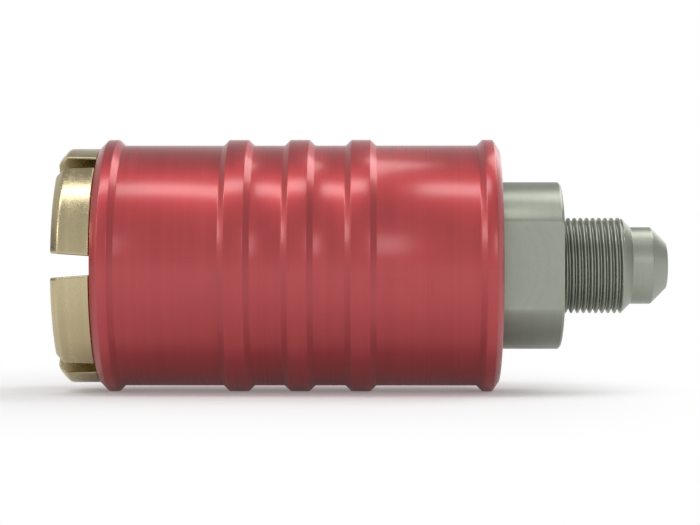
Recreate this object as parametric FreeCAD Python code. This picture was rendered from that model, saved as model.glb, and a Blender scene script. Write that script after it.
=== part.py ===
"""Refrigerant quick coupler: six gripping jaws closed by a sprung sleeve, with a male flare hose end.

Millimetres, +Z up. The axis lies along X with its origin at the collar's outer face: the hose end points
to +X and the jaws point to -X. Every turned piece is drawn as a half section of (x, radius) points.
"""
import FreeCAD, Part
import math
import os

# Hose end
thread_diameter = 15.875
thread_length = 10.06
nose_diameter = 12.75
nose_length = 3.38
flare_tip_diameter = 7.5
flow_bore = 6.0
collar_diameter = 27.74
collar_length = 11.6
collar_chamfer = 0.4
collar_showing = 10.2
wrench_size = 23.8

# Sleeve, outside
sleeve_length = 65.8
sleeve_diameter = 39.95
sleeve_wall = 2.075
ring_height = 0.95
ring_flat = 3.15
ring_pitch = 10.1
front_ring_flat = 1.55
front_ring_chamfer = 1.3
rear_ring_flat = 1.64
rear_ring_chamfer = 1.05
rear_ring_fall = 1.6

# Sleeve, inside, and its travel
sleeve_travel = 5.0
mouth_angle = 18.3
lip_land = 0.575
lip_gap = 0.25
rib_length = 3.0
rib_gap = 3.15
rear_edge_break = 0.5

# Jaws
jaw_count = 6
jaw_diameter = 38.88
jaw_showing = 6.42
jaw_length = 30.77
jaw_swing_angle = 4.15
jaw_chamfer_length = 1.4
jaw_chamfer_height = 1.5
jaw_corner_round = 0.4
jaw_edge_break = 0.35
slot_width = 3.0
slot_front_width = 3.9
arm_thickness = 2.2
heel_length = 4.9
heel_hook = 2.05
grip_diameter = 22.2
lead_in_chamfer = 1.9
tooth_count = 5
tooth_pitch = 1.814
tooth_land = 0.45
tooth_depth = 0.9
tooth_flank_angle = 30.0

# Sleeve spring and its seat
spring_wire = 1.7
spring_turns = 5.5
spring_side_room = 0.6
seat_ring_length = 5.0
guide_band_width = 2.6
guide_band_thickness = 1.4
seat_snap_thickness = 1.2
seat_snap_width = 2.0
seat_snap_depth = 0.8
seat_snap_land = 0.8

# Body nose and spread ring
nose_flange_length = 3.0
spread_ring_wire = 1.3
nose_rim_length = 1.2
neck_wall = 2.4

# Seal piston
port_depth = 16.02
seal_proud = 0.4
seal_depth = 2.4
seal_width = 2.4
seal_edge = 1.1
piston_collar_length = 8.0
piston_ring_section = 2.0
piston_tail_diameter = 11.0
piston_tail_wall = 2.0
tail_notch_width = 3.0
tail_notch_depth = 2.0
piston_snap_thickness = 1.0
piston_snap_width = 1.75
piston_snap_depth = 0.8
piston_snap_land = 0.6
piston_spring_length = 7.0
piston_spring_wire = 0.9
piston_spring_turns = 3.0

# Valve
passage_length = 3.0
valve_chamber_diameter = 17.2
poppet_ring_section = 1.8
poppet_ring_groove_diameter = 12.8
poppet_cone_length = 2.0
poppet_head_diameter = 15.2
poppet_head_length = 1.9
poppet_stem_diameter = 5.0
poppet_spring_length = 6.5
poppet_spring_wire = 0.8
poppet_spring_turns = 3.5
guide_thickness = 2.5
guide_shoulder = 0.6
guide_hub_wall = 1.4
guide_hole_diameter = 2.4
guide_hole_count = 6
stem_proud = 0.4

# Adapter spigot and filter
spigot_wall_over_guide = 1.3
adapter_ring_section = 1.6
adapter_ring_setback = 3.4
filter_diameter = 11.8
filter_thickness = 2.0
filter_setback = 7.8
circlip_thickness = 1.0
circlip_width = 1.4
circlip_depth = 0.6

# Clearances
slip = 0.05
run = 0.15
slide = 0.35
cone_room = 0.3
stop_gap = 0.25
snap_ring_opening = 24.0

X_AXIS = FreeCAD.Vector(1, 0, 0)
Y_AXIS = FreeCAD.Vector(0, 1, 0)
Z_AXIS = FreeCAD.Vector(0, 0, 1)
ORIGIN = FreeCAD.Vector(0, 0, 0)
FULL_TURN = 360.0

# Places along the axis that several pieces share
sleeve_rear = -collar_showing
sleeve_front = sleeve_rear - sleeve_length
jaw_front = sleeve_front - jaw_showing
heel_rear = jaw_front + jaw_length
heel_front = heel_rear - heel_length
pivot_x = heel_rear - heel_length / 2
body_rear = -collar_length
rib_front = heel_rear + rib_gap
rib_rear = rib_front + rib_length
neck_front = heel_front - slide
neck_rear = heel_rear + slide
seat_snap_rear = body_rear - seat_snap_land
seat_ring_rear = seat_snap_rear - seat_snap_thickness - slip
seat_ring_front = seat_ring_rear - seat_ring_length
spread_groove_rear = neck_front - nose_flange_length
spread_groove_front = spread_groove_rear - spread_ring_wire - 2 * slip
nose_front = spread_groove_front - nose_rim_length
piston_snap_front = nose_front + piston_snap_land
piston_snap_rear = piston_snap_front + piston_snap_thickness
seal_face = jaw_front + port_depth
piston_face = seal_face + seal_proud
collar_front = piston_snap_rear + stop_gap
collar_rear = collar_front + piston_collar_length
spring_shoulder = collar_rear + piston_spring_length
seat_start = spring_shoulder + passage_length

# Radii that several pieces share, from the sleeve inwards
sleeve_r = sleeve_diameter / 2
ring_r = sleeve_r + ring_height
sleeve_bore_r = sleeve_r - sleeve_wall
lip_outer_r = ring_r - front_ring_chamfer
lip_inner_r = lip_outer_r - lip_land
mouth_slope = math.tan(math.radians(mouth_angle))
mouth_end = sleeve_front + (lip_inner_r - sleeve_bore_r) / mouth_slope
barrel_r = sleeve_bore_r - spring_wire - 2 * spring_side_room
rib_bore_r = barrel_r + slide
swing = math.radians(jaw_swing_angle)
jaw_taper_end = mouth_end + sleeve_travel
arm_outer_r = sleeve_bore_r - cone_room - swing * (pivot_x - jaw_taper_end)
arm_inner_r = arm_outer_r - arm_thickness
heel_inner_r = arm_inner_r - heel_hook
neck_r = heel_inner_r - slide
nose_flange_r = arm_inner_r - slide
grip_r = grip_diameter / 2
piston_bore_r = neck_r - neck_wall
piston_snap_r = piston_bore_r + piston_snap_depth
piston_snap_inner_r = piston_snap_r - slip - piston_snap_width
piston_front_r = piston_snap_inner_r - slide
tail_r = piston_tail_diameter / 2
tail_bore_r = tail_r - piston_tail_wall
passage_r = tail_r + slide
chamber_r = valve_chamber_diameter / 2
guide_r = chamber_r + guide_shoulder
spigot_r = guide_r + spigot_wall_over_guide
stem_r = poppet_stem_diameter / 2

# The poppet's ring stands a stop gap off the 45 degree valve seat, and the rest of the valve follows it
poppet_groove_r = poppet_ring_groove_diameter / 2
poppet_ring_r = poppet_groove_r + slip + poppet_ring_section / 2
poppet_ring_x = (math.sqrt(2) * (poppet_ring_section / 2 + stop_gap)
                 + seat_start - passage_r + poppet_ring_r)
seat_end = seat_start + chamber_r - passage_r
poppet_groove_front = poppet_ring_x - poppet_ring_section / 2 - slip
poppet_groove_rear = poppet_ring_x + poppet_ring_section / 2 + slip
poppet_front = poppet_groove_front - poppet_cone_length
poppet_head_rear = poppet_groove_rear + poppet_head_length
tail_end = poppet_front - stop_gap
guide_front = poppet_head_rear + poppet_spring_length
guide_rear = guide_front + guide_thickness
stem_end = guide_rear + stem_proud

# The filter stands behind the poppet's stem in the adapter's spigot
filter_r = filter_diameter / 2
filter_pocket_r = filter_r + slip
filter_rear = guide_rear + filter_setback
filter_front = filter_rear - filter_thickness
circlip_rear = filter_front - slip
circlip_front = circlip_rear - circlip_thickness


def corner_arc(before, corner, after, radius):
    """Return the start, middle and end points of the arc that rounds a corner."""
    to_before = (before - corner).normalize()
    to_after = (after - corner).normalize()
    half_angle = to_before.getAngle(to_after) / 2
    setback = radius / math.tan(half_angle)
    centre = corner + (to_before + to_after).normalize() * (radius / math.sin(half_angle))
    middle = centre + (corner - centre).normalize() * radius
    return corner + to_before * setback, middle, corner + to_after * setback


def half_section(points):
    """Return the face inside a closed outline of (x, radius) or (x, radius, corner round) points."""
    corners = [FreeCAD.Vector(point[0], 0, point[1]) for point in points]
    starts, ends, edges = [], [], []
    for index, point in enumerate(points):
        corner = corners[index]
        if len(point) == 2:
            starts.append(corner)
            ends.append(corner)
            continue
        after = corners[(index + 1) % len(points)]
        start, middle, end = corner_arc(corners[index - 1], corner, after, point[2])
        starts.append(start)
        ends.append(end)
        edges.append(Part.Arc(start, middle, end).toShape())
    for index, end in enumerate(ends):
        edges.append(Part.makeLine(end, starts[(index + 1) % len(points)]))
    return Part.Face(Part.Wire(Part.__sortEdges__(edges)))


def turned(points, angle=FULL_TURN):
    """Turn a half section about the axis, centred on the top of the coupler."""
    face = half_section(points)
    face.rotate(ORIGIN, X_AXIS, -angle / 2)
    return face.revolve(ORIGIN, X_AXIS, angle)


def washer(front, rear, inner_r, outer_r):
    """Return a plain ring of rectangular section."""
    return turned([(front, inner_r), (front, outer_r), (rear, outer_r), (rear, inner_r)])


def split(ring, front, rear, outer_r, opening_angle):
    """Cut a gap through the foot of a ring, as in a snap ring."""
    gap = turned([(front, 0), (front, outer_r), (rear, outer_r), (rear, 0)], opening_angle)
    gap.rotate(ORIGIN, X_AXIS, FULL_TURN / 2)
    return ring.cut(gap)


def snap_ring(front, rear, inner_r, outer_r):
    """Return a flat snap ring with its opening at the foot."""
    return split(washer(front, rear, inner_r, outer_r), front, rear, outer_r + slide, snap_ring_opening)


def o_ring(x, ring_r, section):
    """Return a round ring about the axis, by the radius and thickness of its section."""
    return Part.makeTorus(ring_r, section / 2, FreeCAD.Vector(x, 0, 0), X_AXIS)


def coil_spring(front, rear, mean_r, wire, turns):
    """Return an open coil along the axis that fills the space between its two seats."""
    height = rear - front - wire - 2 * stop_gap
    path = Part.Wire(Part.makeHelix(height / turns, height, mean_r))
    section = Part.Wire(Part.makeCircle(wire / 2, FreeCAD.Vector(mean_r, 0, 0), Y_AXIS))
    coil = path.makePipeShell([section], True, True)
    coil.rotate(ORIGIN, Y_AXIS, FULL_TURN / 4)
    coil.translate(FreeCAD.Vector(front + stop_gap + wire / 2, 0, 0))
    return coil


def ring_bump(flat_front, flat_rear):
    """Return the four outline points of a raised ring with 45 degree flanks, front first."""
    return [(flat_front - ring_height, sleeve_r), (flat_front, ring_r),
            (flat_rear, ring_r), (flat_rear + ring_height, sleeve_r)]


def sliding_sleeve():
    """The outer sleeve: five raised rings, a conical mouth over the jaws and a rib for its spring."""
    front_flat = sleeve_front + front_ring_chamfer
    rear_flat = sleeve_rear - rear_ring_chamfer
    front_ring_end = front_flat + front_ring_flat
    rear_ring_start = rear_flat - rear_ring_flat
    outline = [(sleeve_front, lip_inner_r), (sleeve_front, lip_outer_r), (front_flat, ring_r),
               (front_ring_end, ring_r), (front_ring_end + ring_height, sleeve_r)]
    middle = (sleeve_front + sleeve_rear) / 2
    for step in (-1, 0, 1):
        centre = middle + step * ring_pitch
        outline += ring_bump(centre - ring_flat / 2, centre + ring_flat / 2)
    outline += [(rear_ring_start - ring_height, sleeve_r), (rear_ring_start, ring_r),
                (rear_flat, ring_r), (sleeve_rear, ring_r - rear_ring_fall),
                (sleeve_rear, sleeve_bore_r + rear_edge_break),
                (sleeve_rear - rear_edge_break, sleeve_bore_r),
                (rib_rear, sleeve_bore_r), (rib_rear, rib_bore_r),
                (rib_front, rib_bore_r), (rib_front, sleeve_bore_r),
                (mouth_end, sleeve_bore_r)]
    return turned(outline)


def tooth_outline():
    """Return the jaws' gripping teeth from the rear to the front: lands parted by flat-bottomed V grooves."""
    flank = tooth_depth * math.tan(math.radians(tooth_flank_angle))
    first_land = jaw_front + lead_in_chamfer
    points = []
    for tooth in reversed(range(tooth_count)):
        land_front = first_land + tooth * tooth_pitch
        points += [(land_front + tooth_land, grip_r), (land_front, grip_r)]
        if tooth > 0:
            groove_front = land_front - tooth_pitch + tooth_land
            points += [(land_front - flank, grip_r + tooth_depth),
                       (groove_front + flank, grip_r + tooth_depth)]
    return points


def slot_cutter():
    """Return the slot between two jaws at the top: straight at the arms, flared at the heads."""
    beyond = jaw_showing
    flare = (slot_front_width - slot_width) / 2 / jaw_showing
    end_half_width = slot_front_width / 2 + flare * beyond
    half_width = slot_width / 2
    plan = [(jaw_front - beyond, -end_half_width), (jaw_front - beyond, end_half_width),
            (sleeve_front, half_width), (heel_rear + beyond, half_width),
            (heel_rear + beyond, -half_width), (sleeve_front, -half_width)]
    corners = [FreeCAD.Vector(x, y, 0) for x, y in plan]
    return Part.Face(Part.makePolygon(corners + corners[:1])).extrude(Z_AXIS * jaw_diameter)


def break_slot_edges(solid, shoulder):
    """Chamfer the outer edges of a jaw's head along its two slots."""
    lowest_r = jaw_diameter / 2 - jaw_chamfer_height - slip
    picked = []
    for edge in solid.Edges:
        ends = [vertex.Point for vertex in edge.Vertexes]
        front = min(end.x for end in ends)
        rear = max(end.x for end in ends)
        outside = min(math.hypot(end.y, end.z) for end in ends) > lowest_r
        if outside and rear - front > slip and rear < shoulder + slip:
            picked.append(edge)
    return solid.makeChamfer(jaw_edge_break, picked).Solids[0]


def jaw(number):
    """One gripping jaw: toothed head, arm and the heel that hooks into the body's neck."""
    jaw_r = jaw_diameter / 2
    shoulder = sleeve_front - lip_gap
    cone_r = lip_inner_r + lip_gap * mouth_slope - cone_room
    last_land_end = jaw_front + lead_in_chamfer + (tooth_count - 1) * tooth_pitch + tooth_land
    outline = [(jaw_front, grip_r + lead_in_chamfer), (jaw_front, jaw_r - jaw_chamfer_height),
               (jaw_front + jaw_chamfer_length, jaw_r, jaw_corner_round), (shoulder, jaw_r),
               (shoulder, cone_r), (mouth_end, sleeve_bore_r - cone_room),
               (jaw_taper_end, arm_outer_r), (heel_rear, arm_outer_r),
               (heel_rear, heel_inner_r), (heel_front, heel_inner_r), (heel_front, arm_inner_r),
               (last_land_end + arm_inner_r - grip_r, arm_inner_r)] + tooth_outline()
    share = FULL_TURN / jaw_count
    solid = turned(outline, share)
    for side in (-1, 1):
        slot = slot_cutter()
        slot.rotate(ORIGIN, X_AXIS, side * share / 2)
        solid = solid.cut(slot)
    solid = break_slot_edges(solid, shoulder)
    solid.rotate(ORIGIN, X_AXIS, (number - 1) * share)
    return solid


def main_body():
    """The turned barrel: seat ring groove at the rear, neck for the jaws' heels and the nose in front."""
    snap_groove_r = barrel_r - seat_snap_depth
    spread_groove_r = arm_inner_r - run - spread_ring_wire - slip
    return turned([
        (body_rear, spigot_r + slip), (body_rear, barrel_r),
        (seat_snap_rear + slip, barrel_r), (seat_snap_rear + slip, snap_groove_r),
        (seat_snap_rear - seat_snap_thickness - slip, snap_groove_r),
        (seat_snap_rear - seat_snap_thickness - slip, barrel_r),
        (neck_rear, barrel_r), (neck_rear, neck_r),
        (neck_front, neck_r), (neck_front, nose_flange_r),
        (spread_groove_rear, nose_flange_r), (spread_groove_rear, spread_groove_r),
        (spread_groove_front, spread_groove_r), (spread_groove_front, nose_flange_r),
        (nose_front, nose_flange_r), (nose_front, piston_bore_r),
        (piston_snap_front - slip, piston_bore_r), (piston_snap_front - slip, piston_snap_r),
        (piston_snap_rear + slip, piston_snap_r), (piston_snap_rear + slip, piston_bore_r),
        (spring_shoulder, piston_bore_r), (spring_shoulder, passage_r),
        (seat_start, passage_r), (seat_end, chamber_r),
        (guide_front, chamber_r), (guide_front, guide_r + slip),
        (guide_rear, guide_r + slip), (guide_rear, spigot_r + slip)])


def spring_seat_ring():
    """The ring on the barrel's rear that carries the sleeve spring, grooved for the guide band."""
    outer_r = sleeve_bore_r - slide
    groove_r = sleeve_bore_r - run - guide_band_thickness - slip
    middle = (seat_ring_front + seat_ring_rear) / 2
    half_groove = guide_band_width / 2 + slip
    return turned([(seat_ring_front, barrel_r + slip), (seat_ring_front, outer_r),
                   (middle - half_groove, outer_r), (middle - half_groove, groove_r),
                   (middle + half_groove, groove_r), (middle + half_groove, outer_r),
                   (seat_ring_rear, outer_r), (seat_ring_rear, barrel_r + slip)])


def sleeve_guide_ring():
    """The plastic band in the seat ring that the sleeve runs on, with a narrow split."""
    outer_r = sleeve_bore_r - run
    middle = (seat_ring_front + seat_ring_rear) / 2
    front = middle - guide_band_width / 2
    rear = middle + guide_band_width / 2
    band = washer(front, rear, outer_r - guide_band_thickness, outer_r)
    split_angle = math.degrees(guide_band_thickness / outer_r)
    return split(band, front, rear, outer_r + slide, split_angle)


def seat_snap_ring():
    """The snap ring behind the seat ring."""
    inner_r = barrel_r - seat_snap_depth + slip
    return snap_ring(seat_snap_rear - seat_snap_thickness, seat_snap_rear, inner_r, inner_r + seat_snap_width)


def jaw_spread_ring():
    """The open wire ring on the body's nose that presses the jaws outward."""
    ring_r = arm_inner_r - run - spread_ring_wire / 2
    centre = (spread_groove_front + spread_groove_rear) / 2
    wire = o_ring(centre, ring_r, spread_ring_wire)
    outer_r = ring_r + spread_ring_wire
    return split(wire, spread_groove_front, spread_groove_rear, outer_r, snap_ring_opening)


def seal_piston():
    """The sprung piston: seal recess in its face, collar with a ring groove and a notched tail tube."""
    collar_r = piston_bore_r - run
    groove_r = piston_bore_r - run - piston_ring_section
    groove_middle = (collar_front + collar_rear) / 2
    half_groove = piston_ring_section / 2 + slide
    recess_r = piston_front_r - seal_edge
    recess_floor = piston_face + seal_depth
    solid = turned([
        (piston_face, tail_bore_r), (piston_face, recess_r - seal_width),
        (recess_floor, recess_r - seal_width), (recess_floor, recess_r),
        (piston_face, recess_r), (piston_face, piston_front_r),
        (collar_front, piston_front_r), (collar_front, collar_r),
        (groove_middle - half_groove, collar_r), (groove_middle - half_groove, groove_r),
        (groove_middle + half_groove, groove_r), (groove_middle + half_groove, collar_r),
        (collar_rear, collar_r), (collar_rear, tail_r),
        (tail_end, tail_r), (tail_end, tail_bore_r)])
    corner = FreeCAD.Vector(tail_end - tail_notch_depth, -tail_notch_width / 2, -piston_tail_diameter)
    for turn in (0, FULL_TURN / 4):
        notch = Part.makeBox(tail_notch_depth + slide, tail_notch_width, 2 * piston_tail_diameter, corner)
        notch.rotate(ORIGIN, X_AXIS, turn)
        solid = solid.cut(notch)
    return solid


def front_seal():
    """The face seal in the piston, standing a little proud of it."""
    outer_r = piston_front_r - seal_edge - slip
    inner_r = outer_r - seal_width + 2 * slip
    lip = seal_proud / 2
    seal_rear = piston_face + seal_depth
    return turned([(seal_rear, inner_r), (seal_face + lip, inner_r),
                   (seal_face, inner_r + lip), (seal_face, outer_r - lip),
                   (seal_face + lip, outer_r), (seal_rear, outer_r)])


def piston_o_ring():
    """The round ring that seals the piston's collar in the body."""
    ring_r = piston_bore_r - run - piston_ring_section / 2 + slip
    return o_ring((collar_front + collar_rear) / 2, ring_r, piston_ring_section)


def piston_snap_ring():
    """The snap ring that keeps the piston in the body's nose."""
    return snap_ring(piston_snap_front, piston_snap_rear, piston_snap_inner_r, piston_snap_r - slip)


def valve_poppet():
    """The valve: cone, ring groove, head and guided stem."""
    head_r = poppet_head_diameter / 2
    cone_r = poppet_groove_r + slip
    return turned([
        (poppet_front, 0), (poppet_front, cone_r - poppet_cone_length),
        (poppet_groove_front, cone_r), (poppet_groove_front, poppet_groove_r),
        (poppet_groove_rear, poppet_groove_r), (poppet_groove_rear, head_r),
        (poppet_head_rear, head_r), (poppet_head_rear, stem_r),
        (stem_end, stem_r), (stem_end, 0)])


def poppet_guide():
    """The drilled disc that the poppet's stem slides in."""
    disc = washer(guide_front, guide_rear, stem_r + run, guide_r)
    hole_r = guide_hole_diameter / 2
    hub_r = stem_r + run + guide_hub_wall
    ring_of_holes_r = (hub_r + chamber_r) / 2
    for index in range(guide_hole_count):
        start = FreeCAD.Vector(guide_front, 0, ring_of_holes_r)
        hole = Part.makeCylinder(hole_r, guide_thickness, start, X_AXIS)
        hole.rotate(ORIGIN, X_AXIS, index * FULL_TURN / guide_hole_count)
        disc = disc.cut(hole)
    return disc


def flare_adapter():
    """The hose end: collar with two wrench flats, male thread blank, flare nose and inner spigot."""
    thread_r = thread_diameter / 2
    nose_r = nose_diameter / 2
    tip_r = flare_tip_diameter / 2
    bore_r = flow_bore / 2
    nose_start = thread_length + thread_r - nose_r
    cone_start = nose_start + nose_length
    tip = cone_start + nose_r - tip_r
    ring_front = body_rear - adapter_ring_setback - adapter_ring_section / 2 - slip
    ring_rear = body_rear - adapter_ring_setback + adapter_ring_section / 2 + slip
    ring_groove_r = spigot_r - adapter_ring_section
    mouth_r = chamber_r - guide_shoulder
    core = turned([
        (tip, bore_r), (tip, tip_r), (cone_start, nose_r), (nose_start, nose_r),
        (thread_length, thread_r), (body_rear, thread_r), (body_rear, spigot_r),
        (ring_rear, spigot_r), (ring_rear, ring_groove_r),
        (ring_front, ring_groove_r), (ring_front, spigot_r),
        (guide_rear, spigot_r), (guide_rear, mouth_r),
        (guide_rear + mouth_r - filter_pocket_r, filter_pocket_r),
        (circlip_front - slip, filter_pocket_r), (circlip_front - slip, filter_pocket_r + circlip_depth),
        (circlip_rear + slip, filter_pocket_r + circlip_depth), (circlip_rear + slip, filter_pocket_r),
        (filter_rear, filter_pocket_r), (filter_rear, bore_r)])
    collar_r = collar_diameter / 2
    collar = turned([(body_rear, bore_r), (body_rear, collar_r), (-collar_chamfer, collar_r),
                     (0, collar_r - collar_chamfer), (0, bore_r)])
    low_corner = FreeCAD.Vector(body_rear, -wrench_size / 2, -collar_r)
    between_flats = Part.makeBox(collar_length, wrench_size, collar_diameter, low_corner)
    return core.fuse(collar.common(between_flats)).removeSplitter()


def adapter_o_ring():
    """The round ring that seals the adapter's spigot in the body."""
    ring_r = spigot_r - adapter_ring_section / 2
    return o_ring(body_rear - adapter_ring_setback, ring_r, adapter_ring_section)


def inlet_filter():
    """The sintered disc that keeps dirt out of the valve."""
    return turned([(filter_front, 0), (filter_front, filter_r), (filter_rear, filter_r), (filter_rear, 0)])


def filter_circlip():
    """The circlip that holds the filter in the spigot."""
    outer_r = filter_pocket_r + circlip_depth - slip
    return snap_ring(circlip_front, circlip_rear, outer_r - circlip_width, outer_r)


def build_pieces():
    """Return every piece of the coupler by its name."""
    sleeve_spring_r = (barrel_r + sleeve_bore_r) / 2
    piston_spring_r = (tail_r + piston_bore_r) / 2
    poppet_spring_r = stem_r + run + guide_hub_wall - poppet_spring_wire / 2
    pieces = {
        "flare_adapter": flare_adapter(),
        "adapter_o_ring": adapter_o_ring(),
        "inlet_filter": inlet_filter(),
        "filter_circlip": filter_circlip(),
        "main_body": main_body(),
        "spring_seat_ring": spring_seat_ring(),
        "sleeve_guide_ring": sleeve_guide_ring(),
        "seat_snap_ring": seat_snap_ring(),
        "sliding_sleeve": sliding_sleeve(),
        "sleeve_spring": coil_spring(rib_rear, seat_ring_front, sleeve_spring_r, spring_wire, spring_turns),
        "jaw_spread_ring": jaw_spread_ring(),
        "seal_piston": seal_piston(),
        "front_seal": front_seal(),
        "piston_o_ring": piston_o_ring(),
        "piston_snap_ring": piston_snap_ring(),
        "piston_spring": coil_spring(collar_rear, spring_shoulder, piston_spring_r,
                                     piston_spring_wire, piston_spring_turns),
        "valve_poppet": valve_poppet(),
        "poppet_o_ring": o_ring(poppet_ring_x, poppet_ring_r, poppet_ring_section),
        "poppet_spring": coil_spring(poppet_head_rear, guide_front, poppet_spring_r,
                                     poppet_spring_wire, poppet_spring_turns),
        "poppet_guide": poppet_guide(),
    }
    for number in range(1, jaw_count + 1):
        pieces["jaw_%d" % number] = jaw(number)
    return pieces


def main():
    """Write each piece to its own STEP file."""
    os.makedirs("parts", exist_ok=True)
    for name, shape in build_pieces().items():
        shape.exportStep("parts/%s.step" % name)
        state = "valid" if shape.isValid() else "not valid"
        print("%-18s solids %d, %s, %.1f mm3" % (name, len(shape.Solids), state, shape.Volume))


main()
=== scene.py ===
"""Looks of a refrigerant quick coupler: red anodised sleeve, six gold jaws and a plated flare hose end.

Metres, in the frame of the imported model. The axis lies along X, the jaws point to -X and +Z is up.
"""
import logging
import math
from dataclasses import dataclass
from enum import Enum
from typing import Optional, Sequence, Union

import bmesh
import bpy
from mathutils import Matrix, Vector


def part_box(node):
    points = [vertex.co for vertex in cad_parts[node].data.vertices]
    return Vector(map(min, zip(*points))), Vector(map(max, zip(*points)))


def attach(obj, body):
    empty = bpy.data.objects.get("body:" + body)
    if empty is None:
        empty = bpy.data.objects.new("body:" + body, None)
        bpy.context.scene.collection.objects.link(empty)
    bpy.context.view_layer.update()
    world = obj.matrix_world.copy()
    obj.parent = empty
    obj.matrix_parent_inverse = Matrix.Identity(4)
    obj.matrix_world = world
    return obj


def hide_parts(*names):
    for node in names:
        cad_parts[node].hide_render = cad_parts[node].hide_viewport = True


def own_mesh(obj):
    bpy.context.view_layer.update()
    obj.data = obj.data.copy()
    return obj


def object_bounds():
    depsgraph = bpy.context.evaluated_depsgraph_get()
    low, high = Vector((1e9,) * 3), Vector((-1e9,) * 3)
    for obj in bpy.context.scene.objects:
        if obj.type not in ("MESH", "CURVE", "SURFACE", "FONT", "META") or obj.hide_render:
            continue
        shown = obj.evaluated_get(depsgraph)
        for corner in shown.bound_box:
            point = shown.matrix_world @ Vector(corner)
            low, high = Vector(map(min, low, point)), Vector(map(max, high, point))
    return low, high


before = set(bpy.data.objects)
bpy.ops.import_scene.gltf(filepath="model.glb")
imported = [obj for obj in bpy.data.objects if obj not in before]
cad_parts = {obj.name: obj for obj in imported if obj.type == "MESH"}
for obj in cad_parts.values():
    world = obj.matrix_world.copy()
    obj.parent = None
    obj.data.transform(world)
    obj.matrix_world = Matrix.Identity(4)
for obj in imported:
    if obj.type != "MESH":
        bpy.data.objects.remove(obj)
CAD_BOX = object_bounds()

LOG = logging.getLogger("coupler")
MM = 0.001
TURN = 2 * math.pi
MERGE_DISTANCE = 0.002 * MM

Point = tuple[float, float]
Place = tuple[float, float, float]
Colour = tuple[float, float, float]
Rows = Sequence[Sequence[Vector]]
Socket = bpy.types.NodeSocket
Feed = Union[Socket, float, tuple]
Piece = bpy.types.Object
BLACK: Colour = (0.0, 0.0, 0.0)
WHITE: Colour = (1.0, 1.0, 1.0)


class Carrier(Enum):
    """The bodies of the frame that a made piece rides on; the jaws are numbered from jaw_1."""

    BODY = "body"
    SLEEVE = "sleeve"
    PISTON = "piston"


class Slot(Enum):
    """The material slots of the record."""

    RED = "red_anodised"
    GOLD = "jaw_gold"
    NICKEL = "nickel_plate"
    STEEL = "turned_steel"
    SPRING = "spring_steel"
    RUBBER = "seal_rubber"
    PLASTIC = "guide_plastic"
    BRONZE = "sintered_bronze"


class Effect(Enum):
    """The shader node groups that several finishes share."""

    TURNED_MARKS = "turned_marks"
    EDGE_WEAR_AND_HOLLOW_SHADE = "edge_wear_and_hollow_shade"
    HANDLING = "handling_marks"
    GRAIN = "plating_grain"


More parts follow.
